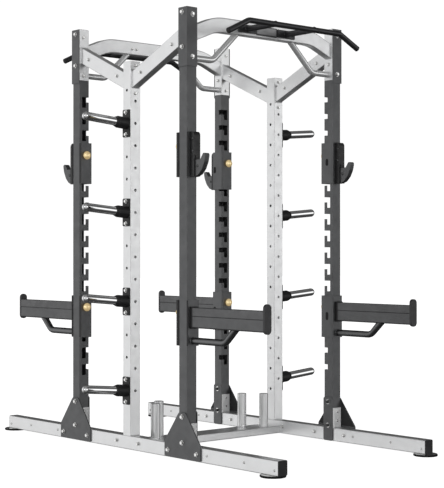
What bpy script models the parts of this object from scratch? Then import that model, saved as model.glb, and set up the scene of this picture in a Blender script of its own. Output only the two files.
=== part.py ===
"""Double-sided half rack: a free-standing strength-training frame.

X runs along the base rails, Y across them, Z up. The origin is on the floor
at the centre of the footprint. Units are metres.
"""
import math

import bmesh
import bpy
from mathutils import Matrix, Vector

# Driving dimensions
GAP = 0.0003
HEIGHT = 2.467
POST_X = 0.503
POST_Y = 0.562
POST = 0.068
POST_WALL = 0.0035
CENTRE_POST = 0.070
CENTRE_TOP = 2.223
RAIL_HALF = 1.248
RAIL_WIDTH = 0.065
RAIL_BOTTOM = 0.012
RAIL_TOP = 0.090
STUB_TOP = 0.2075
STUB_HALF_X = 0.041
SPIGOT_SIDE = 0.0604
SPIGOT_TOP = 0.330
HEAD_BOTTOM = 2.163
HEAD_SPIGOT_BOTTOM = 2.085
TUBE_WALL = 0.003

# Slots in the uprights
SLOT_PITCH = 0.100
SLOT_COUNT = 17
SLOT_FIRST_TOP = 2.0645
SLOT_HEIGHT = 0.064
NOTCH_HEIGHT = 0.031
LEG_NEAR = 0.022
LEG_FAR = 0.050
NOTCH_RETURN = 0.028
WIDE_SLOTS = range(5, 12)

# Base
FOOT_RADIUS = 0.0685
FOOT_EDGE = 0.003
FOOT_SIDES = 28
FOOT_X = 1.225
FOOT_X_INSET = 1.178
CROSS_WIDTH = 0.134
CROSS_TOP = 0.0575
HOLDER_RADIUS = 0.0275
HOLDER_BORE = 0.0255
HOLDER_TOP = 0.264
HOLDER_X = 0.046
HOLDER_Y_INNER = 0.3268
HOLDER_Y_OUTER = 0.4248
PLATE = 0.006
GUSSET_HALF = 0.152
GUSSET_BOTTOM = 0.017
GUSSET_SHOULDER = 0.102
GUSSET_TOP = 0.266
GUSSET_TIP_HALF = 0.028
TAB = 0.0045
TAB_HALF = 0.0375
TAB_TOP = 0.270

# Head of the frame
ANGLE_BOTTOM = 2.145
ANGLE = 0.005
ARCH_WIDTH = 0.050
ARCH_TOP = 2.437
ARCH_HEIGHT = 0.083
ARCH_BEND_START = 0.315
ARCH_BEND_RADIUS = 0.300
ARCH_BEND_ANGLE = math.radians(22.0)
ARCH_BEND_STEPS = 5
BRACE_RADIUS = 0.0175
BRACE_Z = 2.196
BRACE_BEND_Y = 0.385
BRACE_END_Y = 0.205
BRACE_FILLET = 0.060
ARM_WIDTH = 0.050
V_ARM_HEIGHT = 0.095
V_ARM_SLOPE = 0.446
V_ARM_POST_Z = 2.1186

# Pull-up handles
BAR_RADIUS = 0.016
BAR_X = 0.766
BAR_Z = 2.389
BAR_BEND_Y = 0.351
BAR_END_Y = 0.499
BAR_END_Z = 2.317
BAR_FILLET = 0.050
GRIP_RADIUS = 0.017
GRIP_Y = 0.150
GRIP_Z = 2.392
FLANGE_HALF = 0.069
FLANGE_HEIGHT = 0.046
FLANGE = 0.008

# Sliding collars
CLEAR = 0.0005
INNER_SIDE = 0.0195
FRONT = 0.0095
OUTER_SIDE = 0.0105
COLLAR_LIP = 0.002
BEND_RADIUS = 0.010
BLOCK_OUT = 0.080
BLOCK_HALF = 0.0215
BLOCK_RADIUS = 0.020
LUG_DEPTH = 0.0075
LUG_SIDE = 0.002
LUG_HEIGHT = 0.026
HOOK_COLLAR_TOP = 1.788
HOOK_COLLAR_BOTTOM = 1.5445
HOOK_PIN_SLOT = 3
HOOK_PIN_LIFT = 0.013
ARM_COLLAR_TOP = 0.876
ARM_COLLAR_BOTTOM = 0.627
ARM_PIN_SLOT = 12
ARM_PIN_LIFT = 0.0070
HOOK_HALF = 0.015
HOOK_TIP = 0.1645
CUP_FLOOR = 1.634
LIP_TOP = 1.6675

# Safety arms
SAFETY_BOTTOM = 0.7295
SAFETY_TOP = 0.834
SAFETY_END = 1.128
STOP_LENGTH = 0.016
STOP_HALF = 0.0225
STOP_RADIUS = 0.0215
STOP_BOTTOM = 0.716
STOP_TOP = 0.8705
STRUT_RADIUS = 0.0185
STRUT_Z = 0.656
STRUT_BEND_X = 0.815
STRUT_END_X = 0.900
STRUT_FILLET = 0.060

# Spring knobs
PIN_RADIUS = 0.005
PIN_BORE = 0.0054
PIN_SIDES = 12
KNOB_SIDES = 20
KNOB_RADIUS = 0.0245
KNOB_NECK = 0.010
KNOB_REACH = 0.030
KNOB_RIM = 0.0175
KNOB_BACK = 0.0245

# Storage pegs
HOLE_PITCH = 0.127
PEG_FIRST = 0.346
PEG_ROWS = 4
PEG_STEP = 0.508
PEG_REACH = 0.308
PEG_RADIUS = 0.024
PEG_HUB_RADIUS = 0.034
PEG_HUB_LENGTH = 0.070
PEG_CONE_LENGTH = 0.018
PEG_TIP = 0.010
PEG_TILT = math.radians(5.0)
PEG_PLATE_HEIGHT = 0.158
PEG_PLATE = 0.006
PEG_SIDES = 20

# (name, side along X, side along Y) of each upright
CORNERS = (
    ("near_left", -1, -1),
    ("near_right", 1, -1),
    ("far_left", -1, 1),
    ("far_right", 1, 1),
)
HALF = POST / 2


def clear_scene():
    for obj in list(bpy.data.objects):
        bpy.data.objects.remove(obj, do_unlink=True)


def new_collection(name):
    collection = bpy.data.collections.new(name)
    bpy.context.scene.collection.children.link(collection)
    return collection


def make_material(name, colour, roughness, metallic):
    material = bpy.data.materials.new(name)
    material.use_nodes = True
    shader = material.node_tree.nodes["Principled BSDF"]
    shader.inputs["Base Color"].default_value = (*colour, 1.0)
    shader.inputs["Roughness"].default_value = roughness
    shader.inputs["Metallic"].default_value = metallic
    material.diffuse_color = (*colour, 1.0)
    return material


def add_object(name, mesh):
    obj = bpy.data.objects.new(name, mesh)
    parts.objects.link(obj)
    return obj


def box(low, high, name="solid"):
    """A closed box between two corners given in any order."""
    lo = Vector(min(a, b) for a, b in zip(low, high))
    hi = Vector(max(a, b) for a, b in zip(low, high))
    bm = bmesh.new()
    bmesh.ops.create_cube(bm, size=1.0)
    size = hi - lo
    bmesh.ops.scale(bm, vec=size, verts=bm.verts)
    bmesh.ops.translate(bm, vec=(lo + hi) / 2, verts=bm.verts)
    mesh = bpy.data.meshes.new(name)
    bm.to_mesh(mesh)
    bm.free()
    return add_object(name, mesh)


def rounded(points, radii, steps=4):
    """The outline with each corner replaced by an arc of its radius."""
    outline = []
    count = len(points)
    for i, radius in enumerate(radii):
        here = Vector(points[i])
        before = (Vector(points[i - 1]) - here).normalized()
        after = (Vector(points[(i + 1) % count]) - here).normalized()
        if radius <= 0:
            outline.append(here)
            continue
        half_angle = before.angle(after) / 2
        reach = radius / math.tan(half_angle)
        centre = here + (before + after).normalized() * (radius / math.sin(half_angle))
        start = here + before * reach - centre
        end = here + after * reach - centre
        for k in range(steps + 1):
            outline.append(centre + start.slerp(end, k / steps).normalized() * radius)
    return outline


def to_mesh_object(obj, name):
    """Turn a curve into a mesh with welded caps, in place."""
    bpy.context.view_layer.update()
    evaluated = obj.evaluated_get(bpy.context.evaluated_depsgraph_get())
    mesh = bpy.data.meshes.new_from_object(evaluated)
    bm = bmesh.new()
    bm.from_mesh(mesh)
    bmesh.ops.remove_doubles(bm, verts=bm.verts, dist=0.00001)
    bmesh.ops.recalc_face_normals(bm, faces=bm.faces)
    bm.to_mesh(mesh)
    bm.free()
    solid = add_object(name, mesh)
    solid.matrix_world = obj.matrix_world.copy()
    bpy.data.objects.remove(obj, do_unlink=True)
    return solid


def plate(outlines, thickness, matrix, name="solid"):
    """A flat plate of one or more outlines, centred on its own plane."""
    curve = bpy.data.curves.new(name, "CURVE")
    curve.dimensions = "2D"
    curve.fill_mode = "BOTH"
    curve.extrude = thickness / 2
    for outline in outlines:
        spline = curve.splines.new("POLY")
        spline.points.add(len(outline) - 1)
        for point, place in zip(spline.points, outline):
            point.co = (place[0], place[1], 0.0, 1.0)
        spline.use_cyclic_u = True
    flat = bpy.data.objects.new(name, curve)
    parts.objects.link(flat)
    flat.matrix_world = matrix
    return to_mesh_object(flat, name)


def bar(points, radius, name="solid", resolution=2):
    """A round bar along a line of points, with filled caps."""
    curve = bpy.data.curves.new(name, "CURVE")
    curve.dimensions = "3D"
    curve.bevel_depth = radius
    curve.bevel_resolution = resolution
    curve.use_fill_caps = True
    spline = curve.splines.new("POLY")
    spline.points.add(len(points) - 1)
    for point, place in zip(spline.points, points):
        point.co = (*place, 1.0)
    line = bpy.data.objects.new(name, curve)
    parts.objects.link(line)
    return to_mesh_object(line, name)


def fillet(before, corner, after, radius, steps=5):
    """Points along an arc that rounds the corner of a three-point path."""
    corner = Vector(corner)
    first = (Vector(before) - corner).normalized()
    second = (Vector(after) - corner).normalized()
    half_angle = first.angle(second) / 2
    reach = radius / math.tan(half_angle)
    centre = corner + (first + second).normalized() * (radius / math.sin(half_angle))
    start = corner + first * reach - centre
    end = corner + second * reach - centre
    spokes = [start.slerp(end, k / steps).normalized() for k in range(steps + 1)]
    return [centre + spoke * radius for spoke in spokes]


def lathe(profile, sides, matrix, name="solid"):
    """A solid turned about its own Z axis from (radius, height) points."""
    bm = bmesh.new()
    rings = []
    for radius, height in profile:
        if radius == 0.0:
            rings.append([bm.verts.new((0.0, 0.0, height))])
            continue
        ring = []
        for k in range(sides):
            angle = 2 * math.pi * (k + 0.5) / sides
            ring.append(bm.verts.new((radius * math.cos(angle), radius * math.sin(angle), height)))
        rings.append(ring)
    for lower, upper in zip(rings, rings[1:]):
        for k in range(sides):
            quad = [lower[k % len(lower)], lower[(k + 1) % len(lower)]]
            quad += [upper[(k + 1) % len(upper)], upper[k % len(upper)]]
            bm.faces.new(list(dict.fromkeys(quad)))
    for ring, turn in ((rings[0], -1), (rings[-1], 1)):
        if len(ring) > 1:
            bm.faces.new(ring[::turn])
    bmesh.ops.recalc_face_normals(bm, faces=bm.faces)
    mesh = bpy.data.meshes.new(name)
    bm.to_mesh(mesh)
    bm.free()
    solid = add_object(name, mesh)
    solid.matrix_world = matrix
    return solid


def bake(obj):
    """Replace an object's mesh by its evaluated one, in world space."""
    bpy.context.view_layer.update()
    evaluated = obj.evaluated_get(bpy.context.evaluated_depsgraph_get())
    mesh = bpy.data.meshes.new_from_object(evaluated)
    mesh.transform(obj.matrix_world)
    obj.modifiers.clear()
    obj.data = mesh
    obj.matrix_world = Matrix.Identity(4)


def combine(base, others, operation):
    """Cut the others from the base, or join them to it, one by one."""
    for other in others:
        modifier = base.modifiers.new(operation.title(), "BOOLEAN")
        modifier.operation = operation
        modifier.solver = "EXACT"
        modifier.object = other
        bake(base)
        bpy.data.objects.remove(other, do_unlink=True)
    return base


def join(base, *others):
    return combine(base, others, "UNION")


def cut(base, *others):
    return combine(base, others, "DIFFERENCE")


def merge(objects):
    """One object from several that don't touch, to use as a single cutter."""
    bm = bmesh.new()
    for obj in objects:
        bpy.context.view_layer.update()
        obj.data.transform(obj.matrix_world)
        bm.from_mesh(obj.data)
        bpy.data.objects.remove(obj, do_unlink=True)
    mesh = bpy.data.meshes.new("cutters")
    bm.to_mesh(mesh)
    bm.free()
    return add_object("cutters", mesh)


def finish(obj, name, material, smooth=False, origin=None):
    """Name a finished part, give it its material and set its origin."""
    bake(obj)
    obj.name = name
    obj.data.name = name
    obj.data.materials.clear()
    obj.data.materials.append(material)
    if smooth:
        obj.data.shade_smooth()
        obj.data.set_sharp_from_angle(angle=math.radians(30))
    if origin is not None:
        obj.data.transform(Matrix.Translation(-Vector(origin)))
        obj.location = origin
    return obj


class Corner:
    """Places things about one upright: u outward along X, v outward along Y."""

    def __init__(self, side_x, side_y):
        self.side_x = side_x
        self.side_y = side_y

    def at(self, u, v, z):
        return Vector((self.side_x * (POST_X + u), self.side_y * (POST_Y + v), z))

    def box(self, low, high, name="solid"):
        return box(self.at(*low), self.at(*high), name)


def base_rail(name, side_y, material):
    """Long base tube with the two stubs and spigots that carry the uprights."""
    y = side_y * POST_Y
    half = RAIL_WIDTH / 2
    solid = box((-RAIL_HALF, y - half, RAIL_BOTTOM), (RAIL_HALF, y + half, RAIL_TOP))
    inner = half - TUBE_WALL
    hollow = box(
        (-RAIL_HALF + TUBE_WALL, y - inner, RAIL_BOTTOM + TUBE_WALL),
        (RAIL_HALF - TUBE_WALL, y + inner, RAIL_TOP - TUBE_WALL),
    )
    cut(solid, hollow)
    for side_x in (-1, 1):
        corner = Corner(side_x, side_y)
        stub = corner.box(
            (-STUB_HALF_X, -HALF, RAIL_TOP - TUBE_WALL / 2), (STUB_HALF_X, HALF, STUB_TOP))
        spigot_half = SPIGOT_SIDE / 2
        spigot = corner.box(
            (-spigot_half, -spigot_half, STUB_TOP - POST_WALL),
            (spigot_half, spigot_half, SPIGOT_TOP),
        )
        join(stub, spigot)
        core = spigot_half - TUBE_WALL
        join(solid, stub)
        cut(solid, corner.box(
            (-core, -core, RAIL_TOP - 2 * TUBE_WALL), (core, core, SPIGOT_TOP + TUBE_WALL)))
    return finish(solid, name, material)


def cross_member(material):
    """Low tube between the rails with four open holders for barbells."""
    reach = POST_Y - RAIL_WIDTH / 2 - GAP
    half = CROSS_WIDTH / 2
    solid = box((-half, -reach, RAIL_BOTTOM), (half, reach, CROSS_TOP))
    inner = half - TUBE_WALL
    hollow = box(
        (-inner, -reach - TUBE_WALL, RAIL_BOTTOM + TUBE_WALL),
        (inner, reach + TUBE_WALL, CROSS_TOP - TUBE_WALL),
    )
    cut(solid, hollow)
    for side_y in (-1, 1):
        for x, y in ((-HOLDER_X, HOLDER_Y_INNER), (HOLDER_X, HOLDER_Y_OUTER)):
            foot = CROSS_TOP - TUBE_WALL / 2
            tube = lathe(
                ((HOLDER_RADIUS, foot), (HOLDER_RADIUS, HOLDER_TOP)),
                PEG_SIDES, Matrix.Translation((x, side_y * y, 0.0)),
            )
            bore = lathe(
                ((HOLDER_BORE, CROSS_TOP), (HOLDER_BORE, HOLDER_TOP + TUBE_WALL)),
                PEG_SIDES, Matrix.Translation((x, side_y * y, 0.0)),
            )
            join(solid, cut(tube, bore))
    return finish(solid, "base_cross_member", material)


def foot(name, corner, x, material):
    """Round rubber pad with a chamfered rim under the end of a rail."""
    top = RAIL_BOTTOM - GAP
    profile = (
        (FOOT_RADIUS - FOOT_EDGE, 0.0),
        (FOOT_RADIUS, FOOT_EDGE),
        (FOOT_RADIUS, top - FOOT_EDGE),
        (FOOT_RADIUS - FOOT_EDGE, top),
    )
    place = corner.at(x - POST_X, 0.0, 0.0)
    solid = lathe(profile, FOOT_SIDES, Matrix.Translation(place))
    return finish(solid, name, material, smooth=True)


def slot_floor(index):
    return SLOT_FIRST_TOP - index * SLOT_PITCH - SLOT_HEIGHT


def upright(name, corner, both_legs, material):
    """Slotted post. Each slot opens at the inner corner and drops into a leg.

    The wide slots of some posts open as far on both faces, with a leg in each.
    """
    bottom = STUB_TOP + GAP
    top = HEAD_BOTTOM - GAP
    solid = corner.box((-HALF, -HALF, bottom), (HALF, HALF, top))
    core = HALF - POST_WALL
    cut(solid, corner.box((-core, -core, bottom - TAB), (core, core, top + TAB)))
    notches = []
    legs_x = []
    legs_y = []
    outside = -HALF - TAB
    through = -HALF + POST_WALL + 0.001
    for index in range(SLOT_COUNT):
        low = slot_floor(index)
        step = low + SLOT_HEIGHT - NOTCH_HEIGHT
        wide = both_legs and index in WIDE_SLOTS
        notches.append(corner.box(
            (outside, outside, step),
            (-HALF + (LEG_FAR if wide else NOTCH_RETURN), -HALF + LEG_FAR, low + SLOT_HEIGHT),
        ))
        legs_x.append(corner.box(
            (outside, -HALF + LEG_NEAR, low),
            (through, -HALF + LEG_FAR, step + 0.001),
        ))
        if wide:
            legs_y.append(corner.box(
                (-HALF + LEG_NEAR, outside, low),
                (-HALF + LEG_FAR, through, step + 0.001),
            ))
    cut(solid, merge(notches))
    cut(solid, merge(legs_x))
    if legs_y:
        cut(solid, merge(legs_y))
    half = TAB_HALF
    outer = -HALF - GAP - TAB
    tab_low = corner.box((-half, outer, RAIL_BOTTOM + GAP), (half, -HALF - GAP, TAB_TOP))
    tab_high = corner.box((-half, outer, bottom + TAB), (half, -HALF + GAP, TAB_TOP))
    join(tab_low, tab_high)
    return finish(join(solid, tab_low), name, material)


def gusset(name, corner, material):
    """Triangular plate bolted over the outer side of a post and its rail."""
    points = (
        (-GUSSET_HALF, GUSSET_BOTTOM),
        (GUSSET_HALF, GUSSET_BOTTOM),
        (GUSSET_HALF, GUSSET_SHOULDER),
        (GUSSET_TIP_HALF, GUSSET_TOP),
        (-GUSSET_TIP_HALF, GUSSET_TOP),
        (-GUSSET_HALF, GUSSET_SHOULDER),
    )
    outline = rounded(points, (0.006, 0.006, 0.012, 0.020, 0.020, 0.012), 3)
    centre = corner.at(0.0, HALF + GAP + PLATE / 2, 0.0)
    matrix = Matrix.Translation(centre) @ Matrix.Rotation(math.pi / 2, 4, "X")
    return finish(plate([outline], PLATE, matrix), name, material)


def head_angle(name, corner, material):
    """Angle that wraps the two outer faces of a post head."""
    near = HALF + GAP
    far = near + ANGLE
    side = corner.box((-HALF, near, ANGLE_BOTTOM), (far, far, HEIGHT))
    end = corner.box((near, -HALF, ANGLE_BOTTOM), (far, far - ANGLE / 2, HEIGHT))
    return finish(join(side, end), name, material)


def arch_path(reach):
    """Stations of one half of the arch: distance, height and tilt."""
    height = ARCH_TOP - ARCH_HEIGHT / 2
    stations = []
    for k in range(ARCH_BEND_STEPS + 1):
        angle = ARCH_BEND_ANGLE * k / ARCH_BEND_STEPS
        y = ARCH_BEND_START + ARCH_BEND_RADIUS * math.sin(angle)
        z = height - ARCH_BEND_RADIUS * (1 - math.cos(angle))
        stations.append((y, z, angle))
    y, z, angle = stations[-1]
    return stations, (reach, z - (reach - y) * math.tan(angle))


def arch_solid(x, width, height, reach):
    """Rectangular bar that follows the arch, lofted across its stations."""
    stations, tip = arch_path(reach)
    upright_half = height / 2 / math.cos(ARCH_BEND_ANGLE)
    sections = [((tip[0], tip[1] - upright_half), (tip[0], tip[1] + upright_half))]
    for y, z, angle in reversed(stations):
        dy = math.sin(angle) * height / 2
        dz = math.cos(angle) * height / 2
        sections.append(((y - dy, z - dz), (y + dy, z + dz)))
    mirrored = [((-low[0], low[1]), (-high[0], high[1])) for low, high in reversed(sections)]
    bm = bmesh.new()
    rings = []
    for low, high in sections + mirrored:
        ring = [(x - width / 2, *low), (x + width / 2, *low)]
        ring += [(x + width / 2, *high), (x - width / 2, *high)]
        rings.append([bm.verts.new(place) for place in ring])
    for lower, upper in zip(rings, rings[1:]):
        for k in range(4):
            bm.faces.new((lower[k], lower[(k + 1) % 4], upper[(k + 1) % 4], upper[k]))
    bm.faces.new(rings[0])
    bm.faces.new(rings[-1])
    bmesh.ops.recalc_face_normals(bm, faces=bm.faces)
    mesh = bpy.data.meshes.new("arch")
    bm.to_mesh(mesh)
    bm.free()
    return add_object("arch", mesh)


def head_frame(name, side_x, material):
    """Welded head: two post heads, the arched tube and its two bent braces."""
    x = side_x * POST_X
    face = POST_Y - HALF
    solid = arch_solid(x, ARCH_WIDTH, ARCH_HEIGHT, face + POST_WALL / 2)
    for side_y in (-1, 1):
        corner = Corner(side_x, side_y)
        head = corner.box((-HALF, -HALF, HEAD_BOTTOM), (HALF, HALF, HEIGHT))
        half = SPIGOT_SIDE / 2
        spigot = corner.box((-half, -half, HEAD_SPIGOT_BOTTOM), (half, half, HEAD_BOTTOM + TAB))
        join(solid, join(head, spigot))
        start = (x, side_y * (face + POST_WALL / 2), BRACE_Z)
        bend = (x, side_y * BRACE_BEND_Y, BRACE_Z)
        end = (x, side_y * BRACE_END_Y, ARCH_TOP - ARCH_HEIGHT + TUBE_WALL + BRACE_RADIUS / 2)
        path = [start, *fillet(start, bend, end, BRACE_FILLET), end]
        join(solid, bar(path, BRACE_RADIUS))
    hollow = arch_solid(x, ARCH_WIDTH - 2 * TUBE_WALL, ARCH_HEIGHT - 2 * TUBE_WALL, POST_Y)
    cut(solid, hollow)
    core = SPIGOT_SIDE / 2 - TUBE_WALL
    for side_y in (-1, 1):
        corner = Corner(side_x, side_y)
        cut(solid, corner.box(
            (-core, -core, HEAD_SPIGOT_BOTTOM - TAB), (core, core, HEIGHT + TAB)))
    return finish(solid, name, material)


def centre_post(name, side_y, material):
    """Square tube that carries the storage pegs."""
    half = CENTRE_POST / 2
    y = side_y * POST_Y
    solid = box((-half, y - half, RAIL_TOP + GAP), (half, y + half, CENTRE_TOP))
    inner = half - POST_WALL
    hollow = box((-inner, y - inner, 0.0), (inner, y + inner, HEIGHT))
    return finish(cut(solid, hollow), name, material)


def v_arm(name, corner, material):
    """Sloping tube from a centre post up to a post head."""
    start = CENTRE_POST / 2 + GAP
    end = POST_X - HALF - GAP
    side_x = corner.side_x
    y = corner.side_y * POST_Y

    def sheared(width, height, low, high):
        solid = box((low, y - width / 2, -height / 2), (high, y + width / 2, height / 2))
        for vertex in solid.data.vertices:
            vertex.co.z += V_ARM_POST_Z + V_ARM_SLOPE * (vertex.co.x - start)
            vertex.co.x *= side_x
        if side_x < 0:
            solid.data.flip_normals()
        return solid

    solid = sheared(ARM_WIDTH, V_ARM_HEIGHT, start, end)
    hollow = sheared(
        ARM_WIDTH - 2 * TUBE_WALL, V_ARM_HEIGHT - 2 * TUBE_WALL, start - TAB, end + TAB)
    return finish(cut(solid, hollow), name, material)


def pull_up_handle(name, side_x, material):
    """Bent outer bar carried by two grips on flanges against the arch."""
    x = side_x * BAR_X
    ends = [(x, side * BAR_END_Y, BAR_END_Z) for side in (-1, 1)]
    bends = [(x, side * BAR_BEND_Y, BAR_Z) for side in (-1, 1)]
    path = [ends[0], *fillet(ends[0], bends[0], bends[1], BAR_FILLET)]
    path += [*fillet(bends[0], bends[1], ends[1], BAR_FILLET), ends[1]]
    solid = bar(path, BAR_RADIUS, resolution=3)
    near = POST_X + ARCH_WIDTH / 2 + GAP
    for side_y in (-1, 1):
        y = side_y * GRIP_Y
        low = (side_x * near, y - FLANGE_HALF, GRIP_Z - FLANGE_HEIGHT / 2)
        high = (side_x * (near + FLANGE), y + FLANGE_HALF, GRIP_Z + FLANGE_HEIGHT / 2)
        flange = box(low, high)
        inner = (side_x * (near + FLANGE / 2), y, GRIP_Z)
        outer = (x, y, GRIP_Z)
        join(flange, bar([inner, outer], GRIP_RADIUS, resolution=3))
        join(solid, flange)
    return finish(solid, name, material, smooth=True)


def vertical_plate(corner, points, radii, low, high, steps=3):
    """A prism on a rounded outline of (u, v) points between two heights."""
    outline = rounded(points, radii, steps)
    outline = [corner.at(u, v, 0.0).xy for u, v in outline]
    return plate([outline], high - low, Matrix.Translation((0.0, 0.0, (low + high) / 2)))


def collar(corner, low, top, pin_slot, pin_lift):
    """Channel round a post with a lug in one slot and a bore for its pin."""
    near = HALF + CLEAR
    inner = near + INNER_SIDE
    front = near + FRONT
    outer = near + OUTER_SIDE
    lip = HALF + COLLAR_LIP
    points = (
        (-inner, lip), (-inner, -front), (outer, -front), (outer, lip),
        (near, lip), (near, -near), (-near, -near), (-near, lip),
    )
    radii = (0.0, BEND_RADIUS, BEND_RADIUS * 0.8, 0.0, 0.0, 0.0, 0.0, 0.0)
    solid = vertical_plate(corner, points, radii, low, top)
    floor = slot_floor(pin_slot + 1) + GAP
    leg_low = -HALF + LEG_NEAR + LUG_SIDE
    leg_high = -HALF + LEG_FAR - LUG_SIDE
    join(solid, corner.box(
        (-near - PLATE, leg_low, floor), (-near + LUG_DEPTH, leg_high, floor + LUG_HEIGHT)))
    height = slot_floor(pin_slot) + pin_lift
    bore = on_pin_axis(corner, height, -HALF - 2 * INNER_SIDE, ((PIN_BORE, 0.0), (PIN_BORE, POST)))
    return cut(solid, bore)


def on_pin_axis(corner, height, u, profile, sides=PIN_SIDES):
    """A solid turned about a pin's axis, which points at the post from u."""
    v = -HALF + (LEG_NEAR + LEG_FAR) / 2
    turn = Matrix.Rotation(math.pi / 2 * corner.side_x, 4, "Y")
    return lathe(profile, sides, Matrix.Translation(corner.at(u, v, height)) @ turn)


def knob(name, corner, pin_slot, pin_lift, material):
    """Spring pin with a round pull knob."""
    face = HALF + CLEAR + INNER_SIDE
    apex = face + KNOB_REACH
    tip = apex - HALF + LUG_DEPTH
    profile = (
        (0.0, 0.0),
        (KNOB_RADIUS * 0.45, 0.0020),
        (KNOB_RADIUS * 0.78, 0.0070),
        (KNOB_RADIUS * 0.95, KNOB_RIM - 0.0035),
        (KNOB_RADIUS, KNOB_RIM),
        (KNOB_RADIUS * 0.93, KNOB_BACK),
        (KNOB_NECK, KNOB_BACK),
        (KNOB_NECK, KNOB_REACH - GAP),
        (PIN_RADIUS, KNOB_REACH - GAP),
        (PIN_RADIUS, tip - 0.002),
        (PIN_RADIUS * 0.7, tip),
    )
    height = slot_floor(pin_slot) + pin_lift
    solid = on_pin_axis(corner, height, -apex, profile, KNOB_SIDES)
    origin = solid.matrix_world.translation.copy()
    return finish(solid, name, material, smooth=True, origin=origin)


def hook_outline(side_x):
    """Side view of the hook: back, cup and upturned lip."""
    back = HALF + CLEAR + OUTER_SIDE - PLATE / 2
    low = HOOK_COLLAR_BOTTOM
    points = (
        (back, low),
        (0.078, low),
        (0.108, low + 0.010),
        (0.137, low + 0.0375),
        (0.157, low + 0.076),
        (HOOK_TIP, low + 0.108),
        (HOOK_TIP, LIP_TOP),
        (0.1455, LIP_TOP),
        (0.122, CUP_FLOOR),
        (back, CUP_FLOOR),
    )
    radii = (0.0, 0.020, 0.020, 0.030, 0.050, 0.012, 0.010, 0.008, 0.008, 0.0)
    outline = rounded(points, radii, 3)
    return [(side_x * (POST_X + u), z) for u, z in outline]


def hook(name, corner, material):
    """Collar with the steel hook that a barbell rests in."""
    low = HOOK_COLLAR_BOTTOM
    solid = collar(corner, low, HOOK_COLLAR_TOP, HOOK_PIN_SLOT, HOOK_PIN_LIFT)
    centre = corner.at(0.0, 0.0, 0.0)
    matrix = Matrix.Translation((0.0, centre.y, 0.0)) @ Matrix.Rotation(math.pi / 2, 4, "X")
    join(solid, plate([hook_outline(corner.side_x)], 2 * HOOK_HALF, matrix))
    return finish(solid, name, material, origin=corner.at(0.0, 0.0, low))


def hook_liner(name, corner, material):
    """Wear block on the collar's outer side, with a groove over the hook's root."""
    inside = HALF + CLEAR + OUTER_SIDE + GAP
    low = HOOK_COLLAR_BOTTOM
    points = (
        (inside, low), (BLOCK_OUT, low), (BLOCK_OUT, HOOK_COLLAR_TOP), (inside, HOOK_COLLAR_TOP))
    outline = rounded(points, (0.0, 0.0, BLOCK_RADIUS, 0.0), 4)
    outline = [(corner.side_x * (POST_X + u), z) for u, z in outline]
    centre = corner.at(0.0, 0.0, 0.0)
    matrix = Matrix.Translation((0.0, centre.y, 0.0)) @ Matrix.Rotation(math.pi / 2, 4, "X")
    solid = plate([outline], 2 * BLOCK_HALF, matrix)
    side = HOOK_HALF + GAP
    cut(solid, corner.box(
        (inside - TAB, -side, low - TAB), (BLOCK_OUT + TAB, side, CUP_FLOOR + GAP)))
    return finish(solid, name, material)


def safety_arm(name, corner, material):
    """Collar with a long spotter arm, its end stop and its bent strut."""
    solid = collar(corner, ARM_COLLAR_BOTTOM, ARM_COLLAR_TOP, ARM_PIN_SLOT, ARM_PIN_LIFT)
    outer = HALF + CLEAR + OUTER_SIDE
    end = SAFETY_END - POST_X
    join(solid, corner.box(
        (outer - PLATE / 2, -BLOCK_HALF, SAFETY_BOTTOM), (end, BLOCK_HALF, SAFETY_TOP)))
    outline = rounded(
        ((-STOP_HALF, STOP_BOTTOM), (STOP_HALF, STOP_BOTTOM),
         (STOP_HALF, STOP_TOP), (-STOP_HALF, STOP_TOP)),
        (STOP_RADIUS,) * 4, 4)
    centre = corner.at(end + STOP_LENGTH / 2 - 0.0005, 0.0, 0.0)
    turn = Matrix.Rotation(math.pi / 2, 4, "Z") @ Matrix.Rotation(math.pi / 2, 4, "X")
    join(solid, plate([outline], STOP_LENGTH, Matrix.Translation(centre) @ turn))
    start = corner.at(outer - PLATE / 2, 0.0, STRUT_Z)
    bend = corner.at(STRUT_BEND_X - POST_X, 0.0, STRUT_Z)
    tip = corner.at(STRUT_END_X - POST_X, 0.0, SAFETY_BOTTOM + 0.012)
    path = [start, *fillet(start, bend, tip, STRUT_FILLET), tip]
    join(solid, bar(path, STRUT_RADIUS))
    return finish(solid, name, material, origin=corner.at(0.0, 0.0, STRUT_Z))


def peg(name, side_y, row, material):
    """Weight storage peg: bolted plate, tapered hub and a slightly raised bar."""
    face = POST_Y + CENTRE_POST / 2 + GAP
    z = PEG_FIRST + row * PEG_STEP
    half = CENTRE_POST / 2 - 0.002
    solid = box(
        (-half, side_y * face, z - PEG_PLATE_HEIGHT / 2),
        (half, side_y * (face + PEG_PLATE), z + PEG_PLATE_HEIGHT / 2),
    )
    profile = (
        (PEG_HUB_RADIUS, 0.0),
        (PEG_HUB_RADIUS, PEG_HUB_LENGTH),
        (PEG_RADIUS + 0.002, PEG_HUB_LENGTH + PEG_CONE_LENGTH),
        (PEG_RADIUS, PEG_HUB_LENGTH + PEG_CONE_LENGTH),
        (PEG_RADIUS, PEG_REACH - PEG_TIP),
        (PEG_RADIUS * 0.87, PEG_REACH - PEG_TIP * 0.4),
        (PEG_RADIUS * 0.55, PEG_REACH),
    )
    turn = Matrix.Rotation(side_y * (PEG_TILT - math.pi / 2), 4, "X")
    hub = lathe(profile, PEG_SIDES, Matrix.Translation((0.0, side_y * face, z)) @ turn)
    wall = box(
        (-POST, side_y * (face - POST), z - POST), (POST, side_y * (face + 0.001), z + POST))
    join(solid, cut(hub, wall))
    return finish(solid, name, material, smooth=True)


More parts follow.
